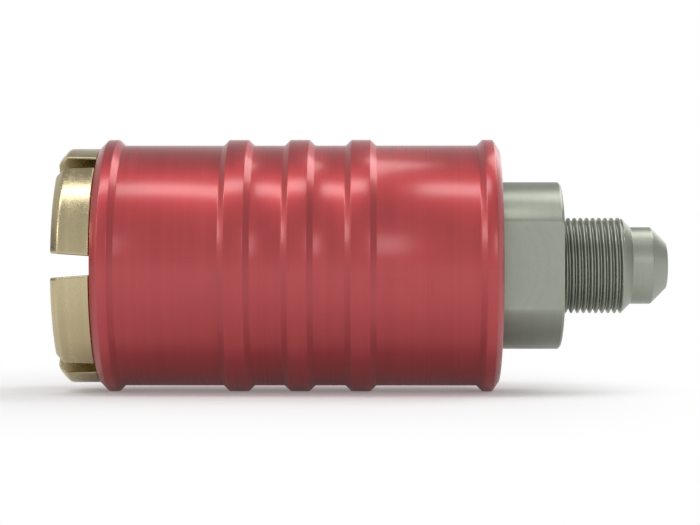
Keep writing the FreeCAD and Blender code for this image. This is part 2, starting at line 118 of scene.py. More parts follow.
class NodeSheet:
    """A shader node tree with short calls that place and wire its nodes."""

    def __init__(self, tree: bpy.types.NodeTree) -> None:
        """Start an empty sheet on the node tree of a material, a world or a group."""
        self.tree = tree
        tree.nodes.clear()

    def add(self, kind: str, feeds: Optional[dict[str, Feed]] = None, **settings: object) -> bpy.types.Node:
        """Place a node, set its options and feed its inputs.

        Args:
            kind: Blender's name of the node type.
            feeds: a socket or a constant for each named input.
            settings: attributes of the node.

        Returns:
            The new node.
        """
        node = self.tree.nodes.new(kind)
        for name, value in settings.items():
            setattr(node, name, value)
        for name, feed in (feeds or {}).items():
            self.feed(node.inputs[name], feed)
        return node

    def feed(self, target: Socket, feed: Feed) -> None:
        """Wire a socket to an input, or set the input to a constant.

        Args:
            target: the input.
            feed: the socket or constant that it gets.
        """
        if isinstance(feed, bpy.types.NodeSocket):
            self.tree.links.new(feed, target)
        else:
            target.default_value = feed

    def run(self, node: bpy.types.Node, *feeds: Feed) -> Socket:
        """Feed a node that takes its inputs in order.

        Args:
            node: the node.
            feeds: a socket or a constant for each input that is in use.

        Returns:
            The node's result.
        """
        inputs = [socket for socket in node.inputs if socket.enabled]
        for target, feed in zip(inputs, feeds):
            self.feed(target, feed)
        return next(socket for socket in node.outputs if socket.enabled)

    def math(self, operation: str, *feeds: Feed) -> Socket:
        """Place a Math node and return its result."""
        return self.run(self.add("ShaderNodeMath", operation=operation), *feeds)

    def vector(self, operation: str, *feeds: Feed) -> Socket:
        """Place a Vector Math node and return its result."""
        return self.run(self.add("ShaderNodeVectorMath", operation=operation), *feeds)

    def blend(self, share: Feed, first: Feed, second: Feed) -> Socket:
        """Mix two colours by the share of the second and return the mix."""
        return self.run(self.add("ShaderNodeMix", data_type="RGBA"), share, first, second)

    def swing(self, value: Socket, middle: float, width: float) -> Socket:
        """Return a number that follows a value from 0 to 1 about a middle."""
        return self.math("MULTIPLY_ADD", value, width, middle - width / 2)

    def spread(self, value: Feed, low: Feed, high: Feed, to_low: Feed = 0.0, to_high: Feed = 1.0) -> Socket:
        """Map a value from one range to another with soft ends and return it."""
        feeds = {"Value": value, "From Min": low, "From Max": high, "To Min": to_low, "To Max": to_high}
        return self.add("ShaderNodeMapRange", feeds, interpolation_type="SMOOTHSTEP").outputs["Result"]

    def noise(self, place: Feed, scale: Feed, detail: float = 2.0, roughness: float = 0.5) -> Socket:
        """Return a noise in space of about 0 to 1, with its scale in waves to the metre."""
        feeds = {"Vector": place, "Scale": scale, "Detail": detail, "Roughness": roughness}
        return self.add("ShaderNodeTexNoise", feeds).outputs[0]

    def stripes(self, along: Feed, detail: float = 2.0) -> Socket:
        """Return a noise of about 0 to 1 that changes along one value only, which is in waves."""
        feeds = {"W": along, "Scale": 1.0, "Detail": detail}
        return self.add("ShaderNodeTexNoise", feeds, noise_dimensions="1D").outputs[0]

    def raised(self, height: Socket, relief: float) -> Socket:
        """Return the normal of a fine relief, in which a step from 0 to 1 is this high."""
        feeds = {"Strength": 1.0, "Distance": relief, "Height": height}
        return self.add("ShaderNodeBump", feeds).outputs["Normal"]

    def place(self) -> Socket:
        """Return the position on the piece, in metres of the frame."""
        return self.add("ShaderNodeTexCoord").outputs["Object"]

    def effect(self, effect: Effect, **feeds: Feed) -> bpy.types.Node:
        """Place a shared effect with this material's own values for its inputs."""
        return self.add("ShaderNodeGroup", feeds, node_tree=bpy.data.node_groups[effect.value])


class EffectShelf:
    """Builds the shared effects, each of them once."""

    RADIUS_SHARE = 1.37
    BROAD_SHARE = 0.15
    FADE_WAVES = 110.0
    FADE_RANGE = (0.35, 0.65)
    SOFT_RANGE = (0.3, 0.7)
    BREAK_WAVES = 700.0
    BREAK_RANGE = (0.3, 0.65)
    HOLLOW_SHADE_RANGE = (0.48, 0.40)
    SCRATCH_WAVES = (90.0, 1500.0, 1500.0)
    SCRATCH_RANGE = (0.68, 0.76)

    def build(self) -> None:
        """Make every shared node group."""
        self.turned_marks()
        self.edge_wear_and_hollow_shade()
        self.handling_marks()
        self.plating_grain()

    @staticmethod
    def open(effect: Effect, inputs: dict[str, float],
             outputs: Sequence[str]) -> tuple[NodeSheet, dict, dict]:
        """Start a node group with named inputs and outputs.

        Args:
            effect: the effect that the group is for.
            inputs: the names of the inputs with their first values.
            outputs: the names of the outputs.

        Returns:
            The group's sheet, its inputs as sockets to read and its outputs as sockets to feed, by name.
        """
        tree = bpy.data.node_groups.new(effect.value, "ShaderNodeTree")
        for name, value in inputs.items():
            socket = tree.interface.new_socket(name=name, in_out="INPUT", socket_type="NodeSocketFloat")
            socket.default_value = value
        for name in outputs:
            tree.interface.new_socket(name=name, in_out="OUTPUT", socket_type="NodeSocketFloat")
        sheet = NodeSheet(tree)
        reads = sheet.add("NodeGroupInput").outputs
        feeds = sheet.add("NodeGroupOutput").inputs
        return sheet, {name: reads[name] for name in inputs}, {name: feeds[name] for name in outputs}

    def turned_marks(self) -> None:
        """Lathe marks: fine rings about the axis that come and go, and broader streaks of tone."""
        inputs = {"Pitch": 4000.0, "Fade": 0.5}
        sheet, reads, feeds = self.open(Effect.TURNED_MARKS, inputs, ("Height", "Streak"))
        place = sheet.place()
        split = sheet.add("ShaderNodeSeparateXYZ", {"Vector": place}).outputs
        squares = [sheet.math("MULTIPLY", split[axis], split[axis]) for axis in ("Y", "Z")]
        radius = sheet.math("SQRT", sheet.math("ADD", *squares))
        along = sheet.math("MULTIPLY_ADD", radius, self.RADIUS_SHARE, split["X"])
        fine = sheet.stripes(sheet.math("MULTIPLY", along, reads["Pitch"]), detail=3.0)
        broad_pitch = sheet.math("MULTIPLY", reads["Pitch"], self.BROAD_SHARE)
        broad = sheet.stripes(sheet.math("MULTIPLY", along, broad_pitch))
        faintest = sheet.math("SUBTRACT", 1.0, reads["Fade"])
        patch = sheet.spread(sheet.noise(place, self.FADE_WAVES), *self.FADE_RANGE, faintest)
        height = sheet.math("MULTIPLY", sheet.math("SUBTRACT", fine, 0.5), patch)
        sheet.feed(feeds["Height"], sheet.math("ADD", height, 0.5))
        sheet.feed(feeds["Streak"], sheet.spread(broad, *self.SOFT_RANGE))

    def edge_wear_and_hollow_shade(self) -> None:
        """Bright broken lines where a raised edge has been rubbed, and a mask of the hollows, which get
        painted shade.
        """
        inputs = {"Start": 0.52, "End": 0.6}
        sheet, reads, feeds = self.open(Effect.EDGE_WEAR_AND_HOLLOW_SHADE, inputs, ("Mask", "HollowShade"))
        pointed = sheet.add("ShaderNodeNewGeometry").outputs["Pointiness"]
        edge = sheet.spread(pointed, reads["Start"], reads["End"])
        breaks = sheet.noise(sheet.place(), self.BREAK_WAVES, detail=3.0)
        broken = sheet.spread(breaks, *self.BREAK_RANGE)
        sheet.feed(feeds["Mask"], sheet.math("MULTIPLY", edge, broken))
        # Mask for painted shade: the hollows, found by their pointiness.
        sheet.feed(feeds["HollowShade"], sheet.spread(pointed, *self.HOLLOW_SHADE_RANGE))

    def handling_marks(self) -> None:
        """Soft patches left by hands, and fine scratches along the piece."""
        sheet, reads, feeds = self.open(Effect.HANDLING, {"Patches": 60.0}, ("Smudge", "Scratch"))
        place = sheet.place()
        smudge = sheet.noise(place, reads["Patches"], detail=3.0, roughness=0.6)
        sheet.feed(feeds["Smudge"], sheet.spread(smudge, *self.SOFT_RANGE))
        stretched = sheet.vector("MULTIPLY", place, self.SCRATCH_WAVES)
        lines = sheet.noise(stretched, scale=1.0, detail=1.0)
        sheet.feed(feeds["Scratch"], sheet.spread(lines, *self.SCRATCH_RANGE))

    def plating_grain(self) -> None:
        """The fine mottle of a plated or tumbled surface."""
        sheet, reads, feeds = self.open(Effect.GRAIN, {"Cells": 2500.0}, ("Grain",))
        grain = sheet.noise(sheet.place(), reads["Cells"], detail=4.0, roughness=0.65)
        sheet.feed(feeds["Grain"], grain)


def opaque(colour: Colour) -> tuple[float, float, float, float]:
    """Return a colour with full alpha."""
    return (*colour, 1.0)


@dataclass(frozen=True)
class Finish:
    """A finish of the coupler, as a material that is made for one of the record's slots."""

    slot: Slot

    def material(self) -> bpy.types.Material:
        """Make the material.

        Returns:
            The new material, with its shader wired.
        """
        material = bpy.data.materials.new(f"{self.slot.value}_finish")
        material.use_nodes = True
        sheet = NodeSheet(material.node_tree)
        shader = sheet.add("ShaderNodeBsdfPrincipled", self.feeds(sheet))
        sheet.add("ShaderNodeOutputMaterial", {"Surface": shader.outputs["BSDF"]})
        return material

    def feeds(self, sheet: NodeSheet) -> dict[str, Feed]:
        """Return what each input of the shader gets; each kind of finish has its own way."""
        raise NotImplementedError


@dataclass(frozen=True)
class MetalFinish(Finish):
    """Bare, plated or anodised metal with turning marks, grain, handling marks and rubbed edges, and painted
    shade in its hollows.
    """

    deep: Colour
    pale: Colour
    rubbed: Colour
    roughness: float
    rubbed_share: float = 0.3
    hollow_shade_share: float = 0.0
    roughness_swing: float = 0.08
    line_swing: float = 0.0
    grain_swing: float = 0.0
    mark_pitch: float = 4000.0
    mark_share: float = 0.6
    mark_fade: float = 0.5
    grain_cells: float = 2500.0
    relief: float = 0.004 * MM
    coat_weight: float = 0.0
    coat_swing: float = 0.6
    coat_roughness: float = 0.2
    coat_ior: float = 1.5

    def feeds(self, sheet: NodeSheet) -> dict[str, Feed]:
        """Wire the metal.

        Args:
            sheet: the material's sheet.

        Returns:
            What each input of the shader gets.
        """
        marks = sheet.effect(Effect.TURNED_MARKS, Pitch=self.mark_pitch, Fade=self.mark_fade).outputs
        hand = sheet.effect(Effect.HANDLING).outputs
        grain = sheet.effect(Effect.GRAIN, Cells=self.grain_cells).outputs["Grain"]
        wear_and_shade = sheet.effect(Effect.EDGE_WEAR_AND_HOLLOW_SHADE).outputs
        grained = sheet.math("MULTIPLY", grain, 1.0 - self.mark_share)
        tone = sheet.math("MULTIPLY_ADD", marks["Streak"], self.mark_share, grained)
        colour = sheet.blend(tone, opaque(self.deep), opaque(self.pale))
        # Painted shade: hollows such as the thread roots are blended towards black.
        hollow_shade_mix = sheet.math("MULTIPLY", wear_and_shade["HollowShade"], self.hollow_shade_share)
        colour = sheet.blend(hollow_shade_mix, colour, opaque(BLACK))
        rubbed = sheet.math("MULTIPLY", wear_and_shade["Mask"], self.rubbed_share)
        colour = sheet.blend(rubbed, colour, opaque(self.rubbed))
        patches = sheet.math("ADD", tone, sheet.math("ADD", hand["Smudge"], hand["Scratch"]))
        base = self.roughness - self.roughness_swing - (self.line_swing + self.grain_swing) / 2
        speckle = sheet.math("MULTIPLY_ADD", grain, self.grain_swing, base)
        lines = sheet.math("MULTIPLY_ADD", marks["Height"], self.line_swing, speckle)
        height = sheet.math("MULTIPLY_ADD", marks["Height"], self.mark_share, grained)
        feeds = {
            "Base Color": self.shaded(sheet, colour),
            "Roughness": sheet.math("MULTIPLY_ADD", patches, self.roughness_swing, lines),
            "Metallic": 1.0,
            "Coat Roughness": self.coat_roughness,
            "Coat IOR": self.coat_ior,
            "Normal": sheet.raised(height, self.relief),
        }
        if self.coat_weight > 0.0:
            feeds["Coat Weight"] = sheet.swing(marks["Height"], self.coat_weight, self.coat_swing)
        return feeds

    def shaded(self, sheet: NodeSheet, colour: Socket) -> Socket:
        """Return the colour as it is, without painted shade on any side."""
        return colour


@dataclass(frozen=True)
class SlotShadeFinish(MetalFinish):
    """Metal of a turned ring that was cut into parts by a saw, with painted shade on the sides of the slots
    between the parts.
    """

    slot_shade_colour: Colour = (0.38, 0.32, 0.19)
    slot_shade_facing: Point = (0.6, 0.9)

    def shaded(self, sheet: NodeSheet, colour: Socket) -> Socket:
        """Paint shade on the slot sides, which face along the ring and not out of it.

        Args:
            sheet: the material's sheet.
            colour: the colour of the other sides.

        Returns:
            The colour of all sides.
        """
        coordinates = sheet.add("ShaderNodeTexCoord").outputs
        outward = sheet.vector("MULTIPLY", coordinates["Object"], (0.0, 1.0, 1.0))
        around = sheet.vector("NORMALIZE", sheet.vector("CROSS_PRODUCT", outward, (1.0, 0.0, 0.0)))
        facing = sheet.math("ABSOLUTE", sheet.vector("DOT_PRODUCT", around, coordinates["Normal"]))
        # Painted shade: the slot sides are blended towards a dark colour.
        return sheet.blend(sheet.spread(facing, *self.slot_shade_facing), colour, opaque(self.slot_shade_colour))


@dataclass(frozen=True)
class MouldedFinish(Finish):
    """Moulded rubber or plastic: a dull skin with a fine mottle and soft patches."""

    deep: Colour
    pale: Colour
    roughness: float
    roughness_swing: float = 0.2
    smudges: float = 150.0
    grain_cells: float = 3000.0
    relief: float = 0.006 * MM

    def feeds(self, sheet: NodeSheet) -> dict[str, Feed]:
        """Wire the moulded skin.

        Args:
            sheet: the material's sheet.

        Returns:
            What each input of the shader gets.
        """
        hand = sheet.effect(Effect.HANDLING, Patches=self.smudges).outputs
        grain = sheet.effect(Effect.GRAIN, Cells=self.grain_cells).outputs["Grain"]
        tone = sheet.math("MULTIPLY", sheet.math("ADD", hand["Smudge"], grain), 0.5)
        return {
            "Base Color": sheet.blend(tone, opaque(self.deep), opaque(self.pale)),
            "Roughness": sheet.swing(grain, self.roughness, self.roughness_swing),
            "Normal": sheet.raised(grain, self.relief),
        }


@dataclass(frozen=True)
class SinteredFinish(Finish):
    """Bronze beads pressed and sintered together, with dark pores between them."""

    bead: Colour
    pore: Colour
    roughness: float
    roughness_swing: float = 0.2
    pore_range: Point = (0.35, 0.75)
    beads: float = 3500.0
    relief: float = 0.06 * MM

    def feeds(self, sheet: NodeSheet) -> dict[str, Feed]:
        """Wire the beads.

        Args:
            sheet: the material's sheet.

        Returns:
            What each input of the shader gets.
        """
        beads = {"Vector": sheet.place(), "Scale": self.beads}
        distance = sheet.add("ShaderNodeTexVoronoi", beads).outputs["Distance"]
        pores = sheet.spread(distance, *self.pore_range)
        grain = sheet.effect(Effect.GRAIN, Cells=2 * self.beads).outputs["Grain"]
        return {
            "Base Color": sheet.blend(pores, opaque(self.bead), opaque(self.pore)),
            "Roughness": sheet.swing(grain, self.roughness, self.roughness_swing),
            "Metallic": 1.0,
            "Normal": sheet.raised(sheet.math("SUBTRACT", 1.0, distance), self.relief),
        }


FINISHES: tuple[Finish, ...] = (
    MetalFinish(Slot.RED, deep=(0.43, 0.036, 0.042), pale=(0.485, 0.046, 0.053), rubbed=(0.60, 0.22, 0.22),
                roughness=0.48, rubbed_share=0.25, mark_pitch=2700.0, relief=0.001 * MM, line_swing=0.2,
                coat_weight=0.9, coat_swing=0.5, coat_roughness=0.22, coat_ior=1.6),
    # The gold jaws get painted shade on the sides of their slots.
    SlotShadeFinish(Slot.GOLD, deep=(0.51, 0.43, 0.257), pale=(0.582, 0.495, 0.308), rubbed=(0.85, 0.82, 0.72),
               roughness=0.24, rubbed_share=0.0, roughness_swing=0.06, grain_swing=0.26, mark_share=0.6,
               grain_cells=1500.0, relief=0.0025 * MM),
    # The nickel gets painted shade in its hollows, such as the thread roots.
    MetalFinish(Slot.NICKEL, deep=(0.30, 0.318, 0.265), pale=(0.37, 0.39, 0.33), rubbed=(0.55, 0.56, 0.51),
                roughness=0.37, hollow_shade_share=0.5, mark_share=0.2),
    MetalFinish(Slot.STEEL, deep=(0.46, 0.46, 0.46), pale=(0.58, 0.58, 0.58), rubbed=(0.7, 0.7, 0.7),
                roughness=0.32, mark_share=0.75, relief=0.006 * MM),
    MetalFinish(Slot.SPRING, deep=(0.33, 0.34, 0.36), pale=(0.45, 0.46, 0.48), rubbed=(0.6, 0.6, 0.62),
                roughness=0.36, mark_share=0.3),
    MouldedFinish(Slot.RUBBER, deep=(0.012, 0.012, 0.013), pale=(0.026, 0.026, 0.027), roughness=0.55),
    MouldedFinish(Slot.PLASTIC, deep=(0.60, 0.58, 0.52), pale=(0.72, 0.70, 0.64), roughness=0.48),
    SinteredFinish(Slot.BRONZE, bead=(0.50, 0.31, 0.15), pore=(0.10, 0.055, 0.025), roughness=0.5),
)


@dataclass(frozen=True)
class Corner:
    """A corner of a turned outline: its place and radius, its rounding and the steps in that."""

    x: float
    r: float
    rounding: float = 0.0
    steps: int = 5


def rounded(corners: Sequence[Corner]) -> list[Point]:
    """Round the corners of a closed outline.

    Args:
        corners: the outline's corners in order.

    Returns:
        The outline's points as (x, radius).
    """
    points: list[Point] = []
    for index, corner in enumerate(corners):
        if corner.rounding == 0.0:
            points.append((corner.x, corner.r))
            continue
        here = Vector((corner.x, corner.r))
        before, after = corners[index - 1], corners[(index + 1) % len(corners)]
        to_before = (Vector((before.x, before.r)) - here).normalized()
        to_after = (Vector((after.x, after.r)) - here).normalized()
        half_angle = to_before.angle(to_after) / 2
        middle = (to_before + to_after).normalized()
        centre = here + middle * (corner.rounding / math.sin(half_angle))
        setback = corner.rounding / math.tan(half_angle)
        first = here + to_before * setback - centre
        last = here + to_after * setback - centre
        for step in range(corner.steps + 1):
            arm = first.slerp(last, step / corner.steps) * corner.rounding
            points.append((centre.x + arm.x, centre.y + arm.y))
    return points


def turned_point(x: float, r: float, angle: float) -> Vector:
    """Return the point at a radius and at an angle from the top, turning the right-hand way about +X."""
    return Vector((x, -r * math.sin(angle), r * math.cos(angle)))


class MeshDraft:
    """The points and faces of a piece before it becomes a Blender object."""

    def __init__(self) -> None:
        """Start with nothing."""
        self.points: list[Vector] = []
        self.faces: list[Sequence[int]] = []

    def grid(self, rows: Rows, wrap_rows: bool = False, wrap_columns: bool = True) -> list[list[int]]:
        """Add a grid of four-sided faces.

        Args:
            rows: the points, row by row.
            wrap_rows: whether the last row joins the first.
            wrap_columns: whether the last column joins the first.

        Returns:
            The numbers of the points, row by row.
        """
        start = len(self.points)
        width = len(rows[0])
        for row in rows:
            self.points.extend(row)
        numbers = [[start + r * width + c for c in range(width)] for r in range(len(rows))]
        for r in range(len(rows) if wrap_rows else len(rows) - 1):
            here, there = numbers[r], numbers[(r + 1) % len(rows)]
            for c in range(width if wrap_columns else width - 1):
                beside = (c + 1) % width
                self.faces.append((here[c], here[beside], there[beside], there[c]))
        return numbers

    def cap(self, numbers: Sequence[int]) -> None:
        """Close a loop of numbered points with one face."""
        self.faces.append(tuple(numbers))

    def make(self, name: str, merge: bool = False) -> Piece:
        """Turn the draft into an object with its faces pointing outwards.

        Args:
            name: the object's name.
            merge: whether points in the same place become one.

        Returns:
            The new object.
        """
        mesh = bpy.data.meshes.new(name)
        mesh.from_pydata([tuple(point) for point in self.points], [], self.faces)
        work = bmesh.new()
        work.from_mesh(mesh)
        if merge:
            bmesh.ops.remove_doubles(work, verts=work.verts, dist=MERGE_DISTANCE)
        bmesh.ops.recalc_face_normals(work, faces=work.faces)
        work.to_mesh(mesh)
        work.free()
        mesh.shade_smooth()
        piece = bpy.data.objects.new(name, mesh)
        bpy.context.scene.collection.objects.link(piece)
        return piece


def even_angles(count: int) -> list[float]:
    """Return angles that share a full turn evenly, from the top on."""
    return [TURN * step / count for step in range(count)]


def rings(corners: Sequence[Corner], angles: Sequence[float]) -> list[list[Vector]]:
    """Turn each point of an outline about the axis into a ring with a point at every angle."""
    return [[turned_point(x, r, angle) for angle in angles] for x, r in rounded(corners)]


def tube(name: str, rows: Rows, merge: bool = False) -> Piece:
    """Join rings of points into a solid that is closed at both ends.

    Args:
        name: the object's name.
        rows: the rings, from one end to the other.
        merge: whether points in the same place become one.

    Returns:
        The solid.
    """
    draft = MeshDraft()
    numbers = draft.grid(rows)
    draft.cap(numbers[0])
    draft.cap(numbers[-1])
    return draft.make(name, merge)


def modify(piece: Piece, kind: str, **settings: object) -> None:
    """Change a piece by a modifier, which ends up as plain mesh.

    Args:
        piece: the piece.
        kind: Blender's name of the modifier type.
        settings: attributes of the modifier.
    """
    modifier = piece.modifiers.new(kind.lower(), kind)
    for name, value in settings.items():
        setattr(modifier, name, value)
    graph = bpy.context.evaluated_depsgraph_get()
    shaped = bpy.data.meshes.new_from_object(piece.evaluated_get(graph), depsgraph=graph)
    plain = piece.data
    piece.modifiers.clear()
    piece.data = shaped
    bpy.data.meshes.remove(plain)


def steady_shading(piece: Piece, sharp_angle: float = 40.0) -> None:
    """Keep large faces evenly shaded beside small roundings.

    Args:
        piece: the piece.
        sharp_angle: the angle in degrees above which an edge shows as sharp.
    """
    piece.data.shade_smooth()
    piece.data.set_sharp_from_angle(angle=math.radians(sharp_angle))
    modify(piece, "WEIGHTED_NORMAL", mode="FACE_AREA", weight=100, keep_sharp=True)


def drop_slivers(piece: Piece) -> None:
    """Take out the faces of no width that joining and cutting leave.

    Args:
        piece: the piece.
    """
    work = bmesh.new()
    work.from_mesh(piece.data)
    bmesh.ops.dissolve_degenerate(work, dist=MERGE_DISTANCE, edges=work.edges)
    work.to_mesh(piece.data)
    work.free()


def carve(piece: Piece, tool: Piece, operation: str) -> None:
    """Join another solid to a piece (UNION) or cut it away (DIFFERENCE), and use it up."""
    modify(piece, "BOOLEAN", operation=operation, object=tool, solver="EXACT")
    bpy.data.objects.remove(tool)


class Workshop:
    """Holds the materials, dresses the pieces and puts them on their bodies."""

    def __init__(self) -> None:
        """Make every shared effect and every finish."""
        EffectShelf().build()
        self.materials = {finish.slot: finish.material() for finish in FINISHES}

    def fit(self, piece: Piece, slot: Slot, body: str, *nodes: str) -> None:
        """Dress a made piece and let it stand for its CAD nodes.

        Args:
            piece: the made piece.
            slot: the slot that gives its finish.
            body: the body that it rides on.
            nodes: the CAD nodes that it stands for.
        """
        piece.data.materials.clear()
        piece.data.materials.append(self.materials[slot])
        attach(piece, body)
        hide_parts(*nodes)
        LOG.info("%s rides on %s, %d faces", piece.name, body, len(piece.data.polygons))

    def dress(self, nodes: dict[str, Slot]) -> None:
        """Give CAD nodes that stay as they are their finish.

        Args:
            nodes: the slot of each node.
        """
        for name, slot in nodes.items():
            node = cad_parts[name]
            node.data.materials.clear()
            node.data.materials.append(self.materials[slot])
            LOG.info("%s dressed in %s", name, slot.value)


@dataclass
class InnerPiece:
    """A piece inside the coupler: a copy of its CAD node with the outer edges broken."""

    name: str
    node: str
    slot: Slot
    carrier: Carrier = Carrier.BODY
    edge_break: float = 0.15 * MM
    flat_angle: float = 0.5
    sharp_angle: float = 25.0
    steps: int = 2

    def build(self, shop: Workshop) -> None:
        """Copy the node, break its edges and dress the copy.

        Args:
            shop: dresses the piece and puts it on its body.
        """
        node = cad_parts[self.node]
        mesh = node.data.copy()
        mesh.transform(node.matrix_world)
        work = bmesh.new()
        work.from_mesh(mesh)
        bmesh.ops.remove_doubles(work, verts=work.verts, dist=MERGE_DISTANCE)
        bmesh.ops.dissolve_limit(work, angle_limit=math.radians(self.flat_angle),
                                 verts=work.verts, edges=work.edges)
        sharp = math.radians(self.sharp_angle)
        edges = [edge for edge in work.edges if edge.is_manifold and edge.calc_face_angle_signed() > sharp]
        bmesh.ops.bevel(work, geom=edges, offset=self.edge_break, offset_type="OFFSET", segments=self.steps,
                        profile=0.5, affect="EDGES", clamp_overlap=True)
        work.to_mesh(mesh)
        work.free()
        piece = bpy.data.objects.new(self.name, mesh)
        bpy.context.scene.collection.objects.link(piece)
        steady_shading(piece)
        shop.fit(piece, self.slot, self.carrier.value, self.node)


@dataclass
class CoilSpring:
    """A round wire compression spring with closed and ground ends, in the space of its CAD node."""

    name: str
    node: str
    joint: str
    wire: float
    active_turns: float
    travel: float
    end_turns: float = 1.0
    ground_share: float = 0.3
    coil_room: float = 1.02
    turn_steps: int = 40
    wire_sides: int = 14

    def centre_line(self, turn: float, length: float) -> float:
        """Return how far along the spring the wire's centre is.

        Args:
            turn: the turns from the start of the wire.
            length: the spring's length.

        Returns:
            The distance from the spring's front seat.
        """
        start = self.ground_share * self.wire
        end_rise = self.coil_room * self.wire * self.end_turns
        active_rise = length - 2 * start - 2 * end_rise
        if turn < self.end_turns:
            return start + end_rise * turn / self.end_turns
        if turn < self.end_turns + self.active_turns:
            return start + end_rise + active_rise * (turn - self.end_turns) / self.active_turns
        left = 2 * self.end_turns + self.active_turns - turn
        return length - start - end_rise * left / self.end_turns

    def build(self, shop: Workshop) -> None:
        """Wind the spring, dress it and put it on the body.

        Args:
            shop: dresses the spring and puts it on its body.
        """
        low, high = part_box(self.node)
        length = high.x - low.x
        mean_r = high.z - self.wire / 2
        turns = self.active_turns + 2 * self.end_turns
        steps = round(turns * self.turn_steps)
        rows = []
        for step in range(steps + 1):
            turn = turns * step / steps
            angle = TURN * turn
            centre = turned_point(low.x + self.centre_line(turn, length), mean_r, angle)
            outward = turned_point(0.0, 1.0, angle)
            row = []
            for about in even_angles(self.wire_sides):
                reach = outward * math.cos(about) + Vector((math.sin(about), 0.0, 0.0))
                point = centre + reach * (self.wire / 2)
                point.x = min(max(point.x, low.x), high.x)
                row.append(point)
            rows.append(row)
        spring = tube(self.name, rows)
        steady_shading(spring)
        shop.fit(spring, Slot.SPRING, Carrier.BODY.value, self.node)
        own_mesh(spring)


@dataclass
class SleeveAssembly:
    """The red sleeve with its five raised rings, and the spring and seat that it slides on."""

    ring_height: float = 0.95 * MM
    ring_flat: float = 3.15 * MM
    ring_pitch: float = 10.1 * MM
    front_flat: float = 1.55 * MM
    front_chamfer: float = 1.3 * MM
    rear_flat: float = 1.64 * MM
    rear_chamfer: float = 1.05 * MM
    rear_fall: float = 1.6 * MM
    wall: float = 2.075 * MM
    lip_land: float = 0.575 * MM
    mouth_length: float = 3.477 * MM
    rib_setback: float = 27.5 * MM
    rib_length: float = 3.0 * MM
    rib_r: float = 15.35 * MM
    rear_break: float = 0.5 * MM
    edge_round: float = 0.25 * MM
    foot_round: float = 0.3 * MM
    lip_round: float = 0.12 * MM
    edge_steps: int = 2
    foot_steps: int = 1
    columns: int = 160
    spring_wire: float = 1.7 * MM
    spring_turns: float = 4.5
    travel: float = 5.0 * MM

    def corner(self, x: float, r: float, rounding: float) -> Corner:
        """Return a corner that is rounded in few steps."""
        return Corner(x, r, rounding, self.edge_steps)

    def ring(self, start: float, end: float, ring_r: float) -> list[Corner]:
        """Return the corners of a raised ring with 45 degree flanks.

        Args:
            start: where its flat begins.
            end: where its flat ends.
            ring_r: the radius of its flat.

        Returns:
            Its four corners, front first.
        """
        low_r = ring_r - self.ring_height
        return [Corner(start - self.ring_height, low_r, self.foot_round, self.foot_steps),
                self.corner(start, ring_r, self.edge_round),
                self.corner(end, ring_r, self.edge_round),
                Corner(end + self.ring_height, low_r, self.foot_round, self.foot_steps)]

    def outline(self) -> list[Corner]:
        """Return the sleeve's closed outline, from the front lip over the outside to the bore."""
        low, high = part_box("sliding_sleeve")
        front, rear, ring_r = low.x, high.x, high.z
        bore_r = ring_r - self.ring_height - self.wall
        lip_r = ring_r - self.front_chamfer
        front_flat = front + self.front_chamfer
        rear_flat = rear - self.rear_chamfer
        corners = [self.corner(front, r, self.lip_round) for r in (lip_r - self.lip_land, lip_r)]
        corners += self.ring(front_flat, front_flat + self.front_flat, ring_r)[1:]
        middle = (front + rear) / 2
        for step in (-1, 0, 1):
            centre = middle + step * self.ring_pitch
            corners += self.ring(centre - self.ring_flat / 2, centre + self.ring_flat / 2, ring_r)
        corners += self.ring(rear_flat - self.rear_flat, rear_flat, ring_r)[:3]
        rib = front + self.rib_setback
        rib_end = rib + self.rib_length
        inside = (
            (rear, ring_r - self.rear_fall, self.lip_round),
            (rear, bore_r + self.rear_break, self.lip_round),
            (rear - self.rear_break, bore_r, self.lip_round),
            (rib_end, bore_r, self.foot_round),
            (rib_end, self.rib_r, self.edge_round),
            (rib, self.rib_r, self.edge_round),
            (rib, bore_r, self.foot_round),
            (front + self.mouth_length, bore_r, self.edge_round),
        )
        return corners + [self.corner(*values) for values in inside]

    def build(self, shop: Workshop) -> None:
        """Make the sleeve and its spring, and dress the pieces that they run on.

        Args:
            shop: dresses the pieces and puts them on their bodies.
        """
        draft = MeshDraft()
        draft.grid(rings(self.outline(), even_angles(self.columns)), wrap_rows=True)
        sleeve = draft.make("red_sleeve")
        shop.fit(sleeve, Slot.RED, Carrier.SLEEVE.value, "sliding_sleeve")
        CoilSpring("sleeve_return_spring", "sleeve_spring", "sleeve_slide",
                   self.spring_wire, self.spring_turns, self.travel).build(shop)
        for piece in (InnerPiece("turned_seat_ring", "spring_seat_ring", Slot.STEEL),
                      InnerPiece("plastic_guide_band", "sleeve_guide_ring", Slot.PLASTIC),
                      InnerPiece("seat_clip", "seat_snap_ring", Slot.SPRING)):
            piece.build(shop)


@dataclass(frozen=True)
class JawCorner:
    """A corner of a jaw's outline: its place, its own rounding and that of the slot edge that follows."""

    x: float
    r: float
    rounding: float = 0.1 * MM
    slot_rounding: float = 0.1 * MM


